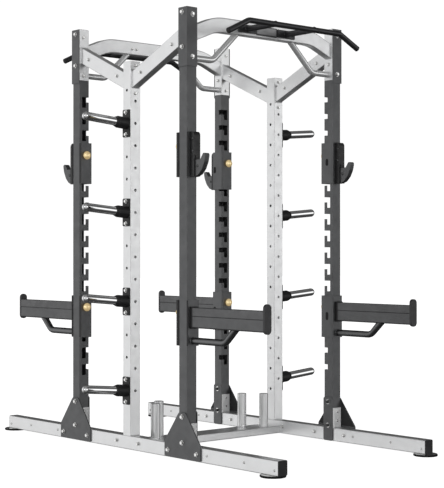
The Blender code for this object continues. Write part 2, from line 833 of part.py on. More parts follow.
def build():
    silver = make_material("silver_paint", (0.60, 0.61, 0.62), 0.42, 0.35)
    dark = make_material("dark_paint", (0.075, 0.077, 0.080), 0.45, 0.30)
    black = make_material("black_plastic", (0.022, 0.022, 0.024), 0.50, 0.0)
    satin = make_material("black_steel", (0.030, 0.030, 0.032), 0.40, 0.20)
    amber = make_material("amber_knob", (0.85, 0.55, 0.12), 0.30, 0.0)
    chrome = make_material("chrome_steel", (0.80, 0.80, 0.81), 0.12, 1.0)
    for side_name, side in (("near", -1), ("far", 1)):
        base_rail(f"base_rail_{side_name}", side, silver)
        centre_post(f"centre_post_{side_name}", side, silver)
        for row in range(PEG_ROWS):
            peg(f"storage_peg_{side_name}_{row + 1}", side, row, chrome)
    for side_name, side in (("left", -1), ("right", 1)):
        head_frame(f"head_frame_{side_name}", side, silver)
        pull_up_handle(f"pull_up_handle_{side_name}", side, satin)
    cross_member(silver)
    for name, side_x, side_y in CORNERS:
        corner = Corner(side_x, side_y)
        foot_x = FOOT_X if side_x == side_y else FOOT_X_INSET
        foot(f"rail_foot_{name}", corner, foot_x, black)
        upright(f"upright_{name}", corner, side_x == side_y, dark)
        gusset(f"base_gusset_{name}", corner, dark)
        head_angle(f"head_angle_{name}", corner, dark)
        v_arm(f"v_arm_{name}", corner, silver)
        hook(f"bar_hook_{name}", corner, dark)
        hook_liner(f"hook_liner_{name}", corner, black)
        knob(f"hook_knob_{name}", corner, HOOK_PIN_SLOT, HOOK_PIN_LIFT, amber)
        safety_arm(f"safety_arm_{name}", corner, dark)
        knob(f"arm_knob_{name}", corner, ARM_PIN_SLOT, ARM_PIN_LIFT, amber)


clear_scene()
parts = new_collection("half_rack")
build()
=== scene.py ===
"""Looks for the double-sided half rack.

Posts, rails, pegs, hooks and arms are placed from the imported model's boxes.
Units are metres, Z up. Left and right lie along X, near and far along Y.
"""
import math

import bmesh
import bpy
from mathutils import Matrix, Vector


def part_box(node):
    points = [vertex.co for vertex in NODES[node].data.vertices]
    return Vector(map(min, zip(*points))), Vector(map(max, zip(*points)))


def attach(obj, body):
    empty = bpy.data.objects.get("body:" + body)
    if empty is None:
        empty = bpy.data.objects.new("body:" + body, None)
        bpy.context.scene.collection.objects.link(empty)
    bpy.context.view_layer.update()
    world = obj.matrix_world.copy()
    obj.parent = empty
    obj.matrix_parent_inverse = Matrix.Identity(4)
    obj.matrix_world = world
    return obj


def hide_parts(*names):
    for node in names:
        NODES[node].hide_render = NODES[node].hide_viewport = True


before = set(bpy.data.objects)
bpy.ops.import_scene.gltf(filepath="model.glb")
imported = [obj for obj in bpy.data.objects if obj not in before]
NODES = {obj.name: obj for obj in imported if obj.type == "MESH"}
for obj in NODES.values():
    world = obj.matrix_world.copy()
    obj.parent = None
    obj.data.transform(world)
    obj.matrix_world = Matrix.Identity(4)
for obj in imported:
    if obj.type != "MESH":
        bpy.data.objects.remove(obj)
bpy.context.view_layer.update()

scene = bpy.context.scene

# Sizes the model was drawn with
POST = 0.068
POST_WALL = 0.0035
RAIL_WIDTH = 0.065
RAIL_BOTTOM = 0.012
RAIL_TOP = 0.090
STUB_HALF_X = 0.041
STUB_TOP = 0.2075
HEAD_BOTTOM = 2.163
SLOT_PITCH = 0.100
SLOT_COUNT = 17
SLOT_FIRST_TOP = 2.0645
SLOT_HEIGHT = 0.064
NOTCH_HEIGHT = 0.031
LEG_NEAR = 0.022
LEG_FAR = 0.050
NOTCH_RETURN = 0.028
WIDE_SLOTS = range(5, 12)
CROSS_TOP = 0.0575
HOLDER_RADIUS = 0.0275
HOLDER_TOP = 0.264
HOLDER_X = 0.046
HOLDER_Y_INNER = 0.3268
HOLDER_Y_OUTER = 0.4248
TAB = 0.0045
TAB_HALF = 0.0375
TAB_TOP = 0.270
ARCH_WIDTH = 0.050
ARCH_TOP = 2.437
ARCH_HEIGHT = 0.083
ARCH_BEND_START = 0.315
ARCH_BEND_RADIUS = 0.300
ARCH_BEND_ANGLE = math.radians(22.0)
BRACE_RADIUS = 0.0175
BRACE_Z = 2.196
BRACE_BEND_Y = 0.385
BRACE_END_Y = 0.205
BRACE_FILLET = 0.060
V_ARM_WIDTH = 0.050
V_ARM_HEIGHT = 0.095
V_ARM_SLOPE = 0.446
V_ARM_POST_Z = 2.1186
BAR_RADIUS = 0.016
BAR_Z = 2.389
BAR_BEND_Y = 0.351
BAR_END_Y = 0.499
BAR_END_Z = 2.317
BAR_FILLET = 0.050
GRIP_RADIUS = 0.017
GRIP_Y = 0.150
GRIP_Z = 2.392
FLANGE_HALF = 0.069
FLANGE_HEIGHT = 0.046
FLANGE = 0.008
PEG_RADIUS = 0.024
PEG_HUB_RADIUS = 0.034
PEG_HUB_LENGTH = 0.070
PEG_CONE = 0.018
PEG_TILT = math.radians(5.0)
PEG_PLATE_HEIGHT = 0.158
PEG_PLATE_WIDTH = 0.066
PEG_PLATE = 0.006
PEG_FIRST = 0.346
HOLE_PITCH = 0.127
KNOB_RADIUS = 0.0245
STOP_LENGTH = 0.016
KNOB_REACH = 0.030
STRUT_RADIUS = 0.0185
STRUT_Z = 0.656
STRUT_BEND_X = 0.815
STRUT_END_X = 0.900
STRUT_FILLET = 0.060
STRUT_ROOT_X = 0.5487
PIN_RADIUS = 0.005
GAP = 0.0003
CLEAR = 0.0005
FRONT = 0.0095
GUSSET = 0.006
ANGLE = 0.005
ARM_COLLAR = (0.627, 0.876)
SAFETY_LOW = 0.7155
SAFETY_HIGH = 0.8710

# Sizes of the visual model alone
ARCH_BEND_STEPS = 10
ARCH_RADIUS = 0.006
HOLDER_BORE = 0.0253
HOLE_RADIUS = 0.0085
CAP = 0.003
CAP_RISE = 0.0022
TUBE_RADIUS = 0.003
WELD = 0.0026
WELD_FINE = 0.0022
DISC = 0.0018
ROOT_END_X = 0.568
SEAM_Z = 0.790

# Places of fasteners
STUB_BOLTS_Z = (0.130, 0.183)
TAB_BOLTS_Z = (0.243, 0.103)
GUSSET_BOLT_U = 0.122
GUSSET_BOLT_Z = 0.053
CROSS_BOLT_X = 0.1015
RAIL_BOLTS = ((CROSS_BOLT_X, 0.0535), (0.70, 0.0535), (0.995, 0.0535), (1.222, 0.040))
V_ARM_BOLTS = ((0.1117, 2.1527), (0.3919, 2.2777))
PEG_BOLT_Z = 0.0635
HOOK_SCREWS_Z = (1.750, 1.682)

# Width across the flats, height and washer radius of bolts; radius and height of screws
SMALL_BOLT = (0.015, 0.007, 0.011)
ARCH_BOLT = (0.013, 0.007, 0.010)
TAB_BOLT = (0.017, 0.010, 0.0105)
RAIL_NUT = (0.017, 0.008, 0.012)
RAIL_BOLT = (0.017, 0.0085, 0.012)
PEG_BOLT = (0.017, 0.0085, 0.0125)
HOOK_SCREW = (0.0075, 0.0042)
STUB_SCREW = (0.0075, 0.0030)
RAIL_SCREW = (0.0072, 0.0036)
FLANGE_SCREW = (0.0095, 0.0050)
CORNERS = (
    ("near_left", -1, -1),
    ("near_right", 1, -1),
    ("far_left", -1, 1),
    ("far_right", 1, 1),
)
ROWS = (("near", -1), ("far", 1))
ENDS = (("left", -1), ("right", 1))
HALF = POST / 2
FRAME = "frame"


# Mesh helpers ---------------------------------------------------------------

def absorb(target, source, matrix=None):
    """Moves the source's geometry into the target, placed by a matrix."""
    if matrix is not None:
        bmesh.ops.transform(source, matrix=matrix, verts=source.verts)
        if matrix.determinant() < 0:
            bmesh.ops.reverse_faces(source, faces=source.faces)
    mesh = bpy.data.meshes.new("passing")
    source.to_mesh(mesh)
    source.free()
    target.from_mesh(mesh)
    bpy.data.meshes.remove(mesh)
    return target


def slab(low, high, radius=0.0, axis=None, segments=4, edge=0.0):
    """A box with rounded edges, or only those along one axis plus a fine edge."""
    lo = Vector(min(a, b) for a, b in zip(low, high))
    hi = Vector(max(a, b) for a, b in zip(low, high))
    bm = bmesh.new()
    bmesh.ops.create_cube(bm, size=1.0)
    bmesh.ops.scale(bm, vec=hi - lo, verts=bm.verts)
    bmesh.ops.translate(bm, vec=(lo + hi) / 2, verts=bm.verts)
    chosen = []
    for item in bm.edges:
        span = item.verts[1].co - item.verts[0].co
        if axis is None or abs(span[axis]) > 1e-6:
            chosen.append(item)
    if radius > 0:
        bmesh.ops.bevel(
            bm, geom=chosen, offset=radius, offset_type="OFFSET",
            segments=segments, profile=0.5, affect="EDGES")
    if edge > 0 and axis is not None:
        ends = (lo[axis], hi[axis])
        rim = [
            item for item in bm.edges
            if any(all(abs(v.co[axis] - end) < 1e-6 for v in item.verts) for end in ends)
        ]
        bmesh.ops.bevel(
            bm, geom=rim, offset=edge, offset_type="OFFSET",
            segments=2, profile=0.5, affect="EDGES")
    return bm


def prism(outline, depth, matrix, rim=0.0):
    """A flat outline given a thickness, with a fine rounded rim."""
    bm = bmesh.new()
    low = [bm.verts.new((x, y, -depth / 2)) for x, y in outline]
    high = [bm.verts.new((x, y, depth / 2)) for x, y in outline]
    count = len(outline)
    bm.faces.new(list(reversed(low)))
    bm.faces.new(high)
    for k in range(count):
        bm.faces.new((low[k], low[(k + 1) % count], high[(k + 1) % count], high[k]))
    bmesh.ops.recalc_face_normals(bm, faces=bm.faces)
    if rim > 0:
        edges = [e for e in bm.edges if abs(e.verts[0].co.z - e.verts[1].co.z) < 1e-7]
        bmesh.ops.bevel(
            bm, geom=edges, offset=rim, offset_type="OFFSET",
            segments=2, profile=0.5, affect="EDGES")
    bmesh.ops.transform(bm, matrix=matrix, verts=bm.verts)
    return bm


def round_outline(width, height, radius, steps=4):
    """A rectangle with round corners, centred, anticlockwise."""
    points = []
    for quarter, (sx, sy) in enumerate(((1, 1), (-1, 1), (-1, -1), (1, -1))):
        cx = sx * (width / 2 - radius)
        cy = sy * (height / 2 - radius)
        for k in range(steps + 1):
            angle = math.pi / 2 * (quarter + k / steps)
            points.append((cx + radius * math.cos(angle), cy + radius * math.sin(angle)))
    return points


def turned(profile, sides=28, matrix=None):
    """A profile of (radius, height) turned about Z; radius 0 closes it."""
    bm = bmesh.new()
    rings = []
    for radius, z in profile:
        if radius <= 0:
            rings.append([bm.verts.new((0.0, 0.0, z))])
            continue
        rings.append([
            bm.verts.new((
                radius * math.cos(2 * math.pi * k / sides),
                radius * math.sin(2 * math.pi * k / sides), z))
            for k in range(sides)
        ])
    for a, b in zip(rings, rings[1:]):
        for k in range(sides):
            j = (k + 1) % sides
            if len(a) == 1:
                bm.faces.new((a[0], b[j], b[k]))
            elif len(b) == 1:
                bm.faces.new((a[k], a[j], b[0]))
            else:
                bm.faces.new((a[k], a[j], b[j], b[k]))
    bmesh.ops.recalc_face_normals(bm, faces=bm.faces)
    if matrix is not None:
        bmesh.ops.transform(bm, matrix=matrix, verts=bm.verts)
    return bm


def arc(before, corner, after, radius, steps=8):
    """Points of a round bend at a corner."""
    corner = Vector(corner)
    a = (Vector(before) - corner).normalized()
    b = (Vector(after) - corner).normalized()
    half = a.angle(b) / 2
    centre = corner + (a + b).normalized() * (radius / math.sin(half))
    start = corner + a * (radius / math.tan(half)) - centre
    end = corner + b * (radius / math.tan(half)) - centre
    return [
        centre + start.slerp(end, k / steps).normalized() * radius for k in range(steps + 1)
    ]


def sweep(points, radius, sides=20, dome=0.0, ripple=0.0):
    """A round bar along points, its ends flat or domed."""
    points = [Vector(p) for p in points]
    bm = bmesh.new()
    tangent = (points[1] - points[0]).normalized()
    side = tangent.orthogonal().normalized()
    rings = []
    for i, place in enumerate(points):
        ahead = points[min(i + 1, len(points) - 1)] - points[max(i - 1, 0)]
        turn = tangent.rotation_difference(ahead.normalized())
        side = (turn @ side).normalized()
        tangent = ahead.normalized()
        other = tangent.cross(side)
        swell = radius * (1 + ripple * math.sin(i * 2.4))
        rings.append([
            bm.verts.new(
                place + (side * math.cos(2 * math.pi * k / sides)
                         + other * math.sin(2 * math.pi * k / sides)) * swell)
            for k in range(sides)
        ])
    for a, b in zip(rings, rings[1:]):
        for k in range(sides):
            bm.faces.new((a[k], a[(k + 1) % sides], b[(k + 1) % sides], b[k]))
    for ring, inward in ((rings[0], points[1] - points[0]), (rings[-1], points[-2] - points[-1])):
        if dome <= 0:
            bm.faces.new(ring)
            continue
        centre = sum((v.co for v in ring), Vector()) / sides
        last = ring
        for step in range(1, 4):
            angle = math.pi / 2 * step / 3
            offset = -inward.normalized() * dome * math.sin(angle)
            if step == 3:
                tip = bm.verts.new(centre + offset)
                for k in range(sides):
                    bm.faces.new((last[k], last[(k + 1) % sides], tip))
                break
            fresh = [
                bm.verts.new(centre + offset + (v.co - centre) * math.cos(angle)) for v in ring
            ]
            for k in range(sides):
                bm.faces.new((last[k], last[(k + 1) % sides], fresh[(k + 1) % sides], fresh[k]))
            last = fresh
    bmesh.ops.recalc_face_normals(bm, faces=bm.faces)
    return bm


def loft(sections):
    """A closed body through rings of the same number of points."""
    bm = bmesh.new()
    rings = [[bm.verts.new(p) for p in section] for section in sections]
    count = len(rings[0])
    for a, b in zip(rings, rings[1:]):
        for k in range(count):
            bm.faces.new((a[k], a[(k + 1) % count], b[(k + 1) % count], b[k]))
    bm.faces.new(rings[0])
    bm.faces.new(rings[-1])
    bmesh.ops.recalc_face_normals(bm, faces=bm.faces)
    return bm


def to_object(name, bm):
    mesh = bpy.data.meshes.new(name)
    bm.to_mesh(mesh)
    bm.free()
    obj = bpy.data.objects.new(name, mesh)
    scene.collection.objects.link(obj)
    return obj


def carve(obj, cutter):
    """Cuts one object's shape out of another and drops the cutter."""
    tool = obj.modifiers.new("carve", "BOOLEAN")
    tool.operation = "DIFFERENCE"
    tool.solver = "EXACT"
    tool.object = cutter
    shown = bpy.context.evaluated_depsgraph_get()
    mesh = bpy.data.meshes.new_from_object(obj.evaluated_get(shown))
    obj.modifiers.clear()
    obj.data = mesh
    bpy.data.objects.remove(cutter, do_unlink=True)
    return obj


def dress(obj, material, body, nodes=(), crease=32.0):
    """Smooth shading, finish, the body it rides on and the nodes it stands for."""
    mesh = obj.data
    mesh.materials.clear()
    mesh.materials.append(material)
    mesh.shade_smooth()
    mesh.set_sharp_from_angle(angle=math.radians(crease))
    weigh = obj.modifiers.new("weigh", "WEIGHTED_NORMAL")
    weigh.keep_sharp = True
    weigh.mode = "FACE_AREA"
    weigh.weight = 50
    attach(obj, body)
    if nodes:
        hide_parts(*nodes)
    return obj


def piece(name, bm, material, body, nodes=(), crease=32.0):
    return dress(to_object(name, bm), material, body, nodes, crease)


def facing(normal, place):
    """A placement whose +Z points along a normal."""
    turn = Vector(normal).to_track_quat("Z", "Y").to_matrix().to_4x4()
    return Matrix.Translation(place) @ turn


# Finishes -------------------------------------------------------------------

class Finish:
    """A small node builder around one Principled shader."""

    def __init__(self, name):
        self.material = bpy.data.materials.new(name)
        self.material.use_nodes = True
        self.tree = self.material.node_tree
        self.shader = self.tree.nodes["Principled BSDF"]
        self.place = self.tree.nodes.new("ShaderNodeTexCoord")

    def link(self, start, end):
        self.tree.links.new(start, end)

    def noise(self, scale, detail=3.0, stretch=None, roughness=0.55):
        node = self.tree.nodes.new("ShaderNodeTexNoise")
        node.inputs["Scale"].default_value = scale
        node.inputs["Detail"].default_value = detail
        node.inputs["Roughness"].default_value = roughness
        source = self.place.outputs["Object"]
        if stretch:
            mapping = self.tree.nodes.new("ShaderNodeMapping")
            mapping.inputs["Scale"].default_value = stretch
            self.link(source, mapping.inputs["Vector"])
            source = mapping.outputs["Vector"]
        self.link(source, node.inputs["Vector"])
        return node.outputs["Fac"]

    def span(self, value, low_in, high_in, low_out, high_out):
        node = self.tree.nodes.new("ShaderNodeMapRange")
        node.inputs["From Min"].default_value = low_in
        node.inputs["From Max"].default_value = high_in
        node.inputs["To Min"].default_value = low_out
        node.inputs["To Max"].default_value = high_out
        self.link(value, node.inputs["Value"])
        return node.outputs["Result"]

    def colours(self, value, first, second):
        node = self.tree.nodes.new("ShaderNodeMix")
        node.data_type = "RGBA"
        node.clamp_factor = True
        for socket in node.inputs:
            if socket.type != "RGBA":
                continue
            given = first if socket.name == "A" else second
            if isinstance(given, tuple):
                socket.default_value = (*given, 1.0)
            else:
                self.link(given, socket)
        self.link(value, node.inputs["Factor"])
        return [s for s in node.outputs if s.type == "RGBA"][0]

    def bump(self, height, distance, before=None, strength=1.0):
        node = self.tree.nodes.new("ShaderNodeBump")
        node.inputs["Strength"].default_value = strength
        node.inputs["Distance"].default_value = distance
        self.link(height, node.inputs["Height"])
        if before is not None:
            self.link(before, node.inputs["Normal"])
        return node.outputs["Normal"]


def coating(name, colour, metallic, roughness, grain, depth, mottle=0.05, swing=0.05,
            scuff=0.0, coat=0.0, coat_roughness=0.2, specular=0.5):
    """Powder coat or moulded plastic: fine orange peel, soft clouding, light scuffs."""
    f = Finish(name)
    s = f.shader.inputs
    s["Metallic"].default_value = metallic
    s["Coat Weight"].default_value = coat
    s["Coat Roughness"].default_value = coat_roughness
    s["Specular IOR Level"].default_value = specular
    dim = tuple(c * (1 - mottle) for c in colour)
    lit = tuple(min(1.0, c * (1 + mottle)) for c in colour)
    cloud = f.noise(7.0, 5.0)
    tone = f.colours(f.span(cloud, 0.35, 0.65, 0.0, 1.0), dim, lit)
    scratch = f.noise(1.0, 4.0, stretch=(34.0, 34.0, 3.5))
    mask = f.span(scratch, 0.66, 0.78, 0.0, scuff)
    worn = tuple(min(1.0, c * 1.5 + 0.03) for c in colour)
    tone = f.colours(mask, tone, worn)
    f.link(tone, s["Base Color"])
    patches = f.noise(26.0, 3.0)
    f.link(f.span(patches, 0.3, 0.7, roughness - swing, roughness + swing), s["Roughness"])
    peel = f.bump(f.noise(grain, 2.0), depth)
    f.link(f.bump(f.noise(grain / 9.0, 2.0), depth * 1.6, peel), s["Normal"])
    return f.material


# Name, colour, metallic, roughness, grain, bump depth, mottle, swing, scuff
silver = coating(
    "silver_powder_coat", (0.85, 0.855, 0.86), 0.78, 0.32, 900.0, 0.00010, 0.02, 0.03)
silver_gloss = coating(
    "silver_gloss_tube", (0.93, 0.935, 0.94), 0.55, 0.20, 900.0, 0.00004, 0.02, 0.03)
# Painted light: a lighter copy of the silver coat, so the rail stubs show brighter than the shade
# of the posts and gussets leaves them.
silver_painted_light = coating(
    "silver_painted_light_stub", (0.97, 0.972, 0.975), 0.0, 0.40, 900.0, 0.00010, 0.02, 0.03)
panel_grey = coating(
    "panel_grey", (0.30, 0.302, 0.306), 0.75, 0.38, 900.0, 0.00010, 0.10, 0.05)
dark = coating(
    "charcoal_powder_coat", (0.155, 0.157, 0.160), 0.88, 0.48, 800.0, 0.00014, 0.06, 0.04, 0.05)
dark_gloss = coating(
    "charcoal_gloss_tube", (0.155, 0.157, 0.160), 0.90, 0.25, 900.0, 0.00006, 0.04, 0.03)
steel_black = coating(
    "black_powder_coat", (0.075, 0.075, 0.078), 0.7, 0.36, 900.0, 0.00012, 0.08, 0.06, 0.10)
plastic = coating(
    "moulded_black_plastic", (0.020, 0.020, 0.021), 0.0, 0.46, 1500.0, 0.00016, 0.10, 0.06, 0.20,
    specular=0.35)
rubber = coating(
    "moulded_rubber", (0.010, 0.010, 0.010), 0.0, 0.62, 1200.0, 0.0003, 0.15, 0.06, 0.15,
    specular=0.3)
liner = coating(
    "wear_liner", (0.016, 0.016, 0.017), 0.0, 0.40, 700.0, 0.0002, 0.12, 0.08, 0.45,
    specular=0.45)
wear_cap = coating(
    "wear_cap_grey", (0.150, 0.151, 0.154), 0.80, 0.46, 700.0, 0.0002, 0.08, 0.06, 0.25)
amber = coating(
    "amber_knob", (1.0, 0.84, 0.50), 0.80, 0.22, 900.0, 0.00004, 0.03, 0.03,
    coat=0.5, coat_roughness=0.12)
# Painted light: the emission paints a glow into the amber knobs that no lamp gives, so they look
# brighter.
knob_painted_glow = amber.node_tree.nodes["Principled BSDF"].inputs
knob_painted_glow["Emission Color"].default_value = (1.0, 0.72, 0.34, 1.0)
knob_painted_glow["Emission Strength"].default_value = 0.36
stop_black = coating(
    "end_stop_black", (0.060, 0.060, 0.062), 0.4, 0.45, 700.0, 0.0002, 0.10, 0.06, 0.15)
zinc = coating(
    "zinc_plated_steel", (0.86, 0.86, 0.85), 1.0, 0.24, 1600.0, 0.00005, 0.05, 0.06)
chrome = coating(
    "polished_chrome", (0.88, 0.885, 0.89), 1.0, 0.06, 2200.0, 0.000006, 0.01, 0.02)


# Fasteners ------------------------------------------------------------------

def hex_bolt(bm, place, normal, across=0.019, head=0.0085, washer=0.0135, turn=0.3):
    """Hex head with a chamfer and a dished top, on a flat washer."""
    matrix = facing(normal, place) @ Matrix.Rotation(turn, 4, "Z")
    ring = ((0.0, 0.0), (washer, 0.0), (washer, 0.0012), (washer - 0.0006, DISC), (0.0, DISC))
    absorb(bm, turned(ring, 24), matrix)
    corner = across / 2 / math.cos(math.pi / 6)
    dish = DISC + head * 0.93
    absorb(bm, turned((
        (0.0, DISC), (corner, DISC), (corner, DISC + head * 0.78),
        (corner * 0.88, DISC + head), (corner * 0.60, dish), (0.0, dish),
    ), 6), matrix)


def button_bolt(bm, place, normal, radius=0.0085, height=0.0045):
    """Low domed head with a socket."""
    matrix = facing(normal, place)
    dome = [(0.0, 0.0), (radius, 0.0), (radius, height * 0.25)]
    for k in range(1, 5):
        angle = math.pi / 2 * k / 5
        dome.append((radius * math.cos(angle), height * (0.25 + 0.75 * math.sin(angle))))
    dome += [(radius * 0.36, height), (radius * 0.34, height * 0.45), (0.0, height * 0.40)]
    absorb(bm, turned(dome, 18), matrix)


def weld_loop(bm, points, radius=WELD, pitch=0.006):
    """A rippled weld bead round a closed run of points."""
    run = []
    loop = [Vector(p) for p in points]
    for a, b in zip(loop, loop[1:] + loop[:1]):
        steps = max(1, int((b - a).length / pitch))
        run += [a.lerp(b, k / steps) for k in range(steps)]
    run.append(loop[0])
    absorb(bm, sweep(run, radius, sides=8, ripple=0.16))


def square_loop(centre, half_a, half_b, axis):
    """Corners of a rectangle about a centre, in the plane across an axis."""
    signs = ((1, 1), (-1, 1), (-1, -1), (1, -1))
    loop = []
    for a, b in signs:
        offset = [a * half_a, b * half_b]
        offset.insert(axis, 0.0)
        loop.append(Vector(centre) + Vector(offset))
    return loop


def round_loop(centre, radius, axis, count=20):
    """Points of a circle about a centre, in the plane across an axis."""
    loop = []
    for k in range(count):
        angle = 2 * math.pi * k / count
        offset = [radius * math.cos(angle), radius * math.sin(angle)]
        offset.insert(axis, 0.0)
        loop.append([a + b for a, b in zip(centre, offset)])
    return loop


# The frame ------------------------------------------------------------------

class Corner:
    """Places things about one post: u outward along X, v outward along Y."""

    def __init__(self, name, side_x, side_y):
        low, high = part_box("upright_" + name)
        self.name = name
        self.side_x = side_x
        self.side_y = side_y
        self.x = (low.x + high.x) / 2
        outer = high.y if side_y > 0 else low.y
        self.y = outer - side_y * HALF

    def at(self, u, v, z):
        return Vector((self.x + self.side_x * u, self.y + self.side_y * v, z))

    def slab(self, low, high, *args, **kwargs):
        return slab(self.at(*low), self.at(*high), *args, **kwargs)

    def out_x(self, sign=1):
        return Vector((self.side_x * sign, 0, 0))

    def out_y(self, sign=1):
        return Vector((0, self.side_y * sign, 0))


corners = [Corner(*entry) for entry in CORNERS]
posts = {c.name: c for c in corners}
bolts = bmesh.new()
pins = bmesh.new()
black_bolts = bmesh.new()
welds = bmesh.new()


def rails():
    half = RAIL_WIDTH / 2
    height = RAIL_TOP - RAIL_BOTTOM
    for row, _ in ROWS:
        low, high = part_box("base_rail_" + row)
        ends = (posts[row + "_left"], posts[row + "_right"])
        y = (ends[0].y + ends[1].y) / 2
        body = slab(
            (low.x, y - half, RAIL_BOTTOM), (high.x, y + half, RAIL_TOP),
            0.0055, axis=0, segments=5)
        stubs = bmesh.new()
        for c in ends:
            absorb(stubs, c.slab(
                (-STUB_HALF_X, -HALF, RAIL_TOP - 0.002), (STUB_HALF_X, HALF, STUB_TOP),
                0.0065, axis=2, segments=5, edge=0.0008))
            seat = c.at(0, 0, RAIL_TOP + 0.001)
            weld_loop(welds, square_loop(seat, STUB_HALF_X, half - 0.003, 2))
            for face in (-1, 1):
                for z in STUB_BOLTS_Z:
                    spot = c.at(face * STUB_HALF_X, 0.0, z)
                    button_bolt(pins, spot, c.out_x(face), *STUB_SCREW)
                spot = c.at(face * GUSSET_BOLT_U, -half, GUSSET_BOLT_Z)
                hex_bolt(bolts, spot, c.out_y(-1), *RAIL_NUT, turn=face)
        # The stubs take the lighter copy of the silver coat, painted light over their shade.
        piece("rail_stubs_" + row, stubs, silver_painted_light, FRAME, ())
        piece("rail_tube_" + row, body, silver, FRAME, ["base_rail_" + row])
        for (name, side), end in zip(ENDS, (low.x, high.x)):
            centre = Vector((end + side * (CAP / 2 - 0.0005), y, (RAIL_BOTTOM + RAIL_TOP) / 2))
            plate = prism(
                round_outline(RAIL_WIDTH, height, 0.0075), CAP,
                facing((side, 0, 0), centre), 0.0011)
            rim = prism(
                round_outline(RAIL_WIDTH - 0.022, height - 0.022, 0.006), 0.0012,
                facing((side, 0, 0), centre + Vector((side * CAP / 2, 0, 0))), 0.0005)
            absorb(plate, rim)
            piece(f"rail_cap_{row}_{name}", plate, plastic, FRAME, ())
        for x, z in RAIL_BOLTS:
            for sign in (-1, 1):
                for face in (-1, 1):
                    spot = (sign * x, y + face * half, z)
                    if x == CROSS_BOLT_X:
                        hex_bolt(bolts, spot, (0, face, 0), *RAIL_BOLT, turn=x)
                    else:
                        button_bolt(pins, spot, (0, face, 0), *RAIL_SCREW)


def feet():
    for c in corners:
        node = "rail_foot_" + c.name
        low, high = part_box(node)
        radius = (high.x - low.x) / 2
        top = high.z
        profile = [
            (0.0, 0.0), (radius - 0.010, 0.0), (radius - 0.009, 0.0015), (radius - 0.006, 0.0015),
            (radius - 0.005, 0.0), (radius - 0.0022, 0.0), (radius, 0.0024), (radius, top * 0.42),
            (radius - 0.0012, top * 0.50), (radius, top * 0.58), (radius, top - 0.0030),
            (radius - 0.0030, top), (0.0, top),
        ]
        centre = (low + high) / 2
        pad = turned(profile, 48, Matrix.Translation((centre.x, centre.y, low.z)))
        piece("foot_pad_" + c.name, pad, rubber, FRAME, [node])
        disc = turned((
            (0.0, top - 0.0005), (radius - 0.004, top - 0.0005),
            (radius - 0.0045, top + 0.0002), (0.0, top + 0.0002),
        ), 48, Matrix.Translation((centre.x, centre.y, 0.0)))
        piece("foot_plate_" + c.name, disc, zinc, FRAME, ())


def cross_member():
    low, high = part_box("base_cross_member")
    body = slab(
        (low.x, low.y, RAIL_BOTTOM), (high.x, high.y, CROSS_TOP), 0.0055, axis=1, segments=5)
    wall = (
        (HOLDER_RADIUS, CROSS_TOP - 0.001), (HOLDER_RADIUS, HOLDER_TOP - 0.0008),
        (HOLDER_RADIUS - 0.0008, HOLDER_TOP), (HOLDER_BORE + 0.0004, HOLDER_TOP),
        (HOLDER_BORE, HOLDER_TOP - 0.0005), (HOLDER_BORE, CROSS_TOP + 0.0005),
        (0.0, CROSS_TOP + 0.0005),
    )
    tubes = bmesh.new()
    for side in (-1, 1):
        for x, y in ((-HOLDER_X, HOLDER_Y_INNER), (HOLDER_X, HOLDER_Y_OUTER)):
            absorb(tubes, turned(wall, 40, Matrix.Translation((x, side * y, 0.0))))
            foot = (x, side * y, CROSS_TOP + 0.0008)
            weld_loop(welds, round_loop(foot, HOLDER_RADIUS + 0.001, 2, 24), WELD_FINE)
    piece("bar_holder_tubes", tubes, silver_gloss, FRAME, ())
    piece("cross_member_tube", body, silver, FRAME, ["base_cross_member"])


def slots(c, both_legs):
    """Cutters for the slots of one post, as two separate objects, or three where the post has
    legs on both faces.
    """
    notch, leg_x, leg_y = bmesh.new(), bmesh.new(), bmesh.new()
    outside = -HALF - TAB
    through = -HALF + POST_WALL + 0.003
    for index in range(SLOT_COUNT):
        floor = SLOT_FIRST_TOP - index * SLOT_PITCH - SLOT_HEIGHT
        step = floor + SLOT_HEIGHT - NOTCH_HEIGHT
        wide = both_legs and index in WIDE_SLOTS
        reach = LEG_FAR if wide else NOTCH_RETURN
        absorb(notch, c.slab(
            (outside, outside, step), (-HALF + reach, -HALF + LEG_FAR, floor + SLOT_HEIGHT)))
        absorb(leg_x, c.slab(
            (outside, -HALF + LEG_NEAR, floor), (through, -HALF + LEG_FAR, step + 0.001),
            0.004, axis=0, segments=3))
        if wide:
            absorb(leg_y, c.slab(
                (-HALF + LEG_NEAR, outside, floor), (-HALF + LEG_FAR, through, step + 0.001),
                0.004, axis=1, segments=3))
    made = [to_object("cut_a", notch), to_object("cut_b", leg_x)]
    if both_legs:
        made.append(to_object("cut_c", leg_y))
    else:
        leg_y.free()
    return made


def uprights():
    for c in corners:
        node = "upright_" + c.name
        bottom, top = STUB_TOP + GAP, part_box(node)[1].z
        tube = to_object("post_" + c.name, c.slab(
            (-HALF, -HALF, bottom), (HALF, HALF, top), TUBE_RADIUS, axis=2, segments=5))
        core = HALF - POST_WALL
        carve(tube, to_object("core", c.slab(
            (-core, -core, bottom - 0.01), (core, core, top + 0.01),
            0.0038, axis=2, segments=3)))
        for cutter in slots(c, c.side_x == c.side_y):
            carve(tube, cutter)
        dress(tube, dark, FRAME, [node])
        outer = -HALF - GAP - TAB / 2
        centre = c.at(0, outer, (RAIL_BOTTOM + TAB_TOP) / 2)
        tab = prism(
            round_outline(2 * TAB_HALF, TAB_TOP - RAIL_BOTTOM, 0.010), TAB,
            facing(c.out_y(), centre), 0.0008)
        piece("weld_tab_" + c.name, tab, dark, FRAME, ())
        joint = square_loop(c.at(0, 0, STUB_TOP + 0.0004), HALF - 0.002, HALF - 0.002, 2)
        weld_loop(welds, joint, 0.0012)
        washer = ((0.0, 0.0), (0.0150, 0.0), (0.0146, 0.0016), (0.0, 0.0016))
        for z in TAB_BOLTS_Z:
            spot = c.at(0, outer - TAB / 2, z)
            absorb(bolts, turned(washer, 28, facing(c.out_y(-1), spot)))
            hex_bolt(black_bolts, spot, c.out_y(-1), *TAB_BOLT)


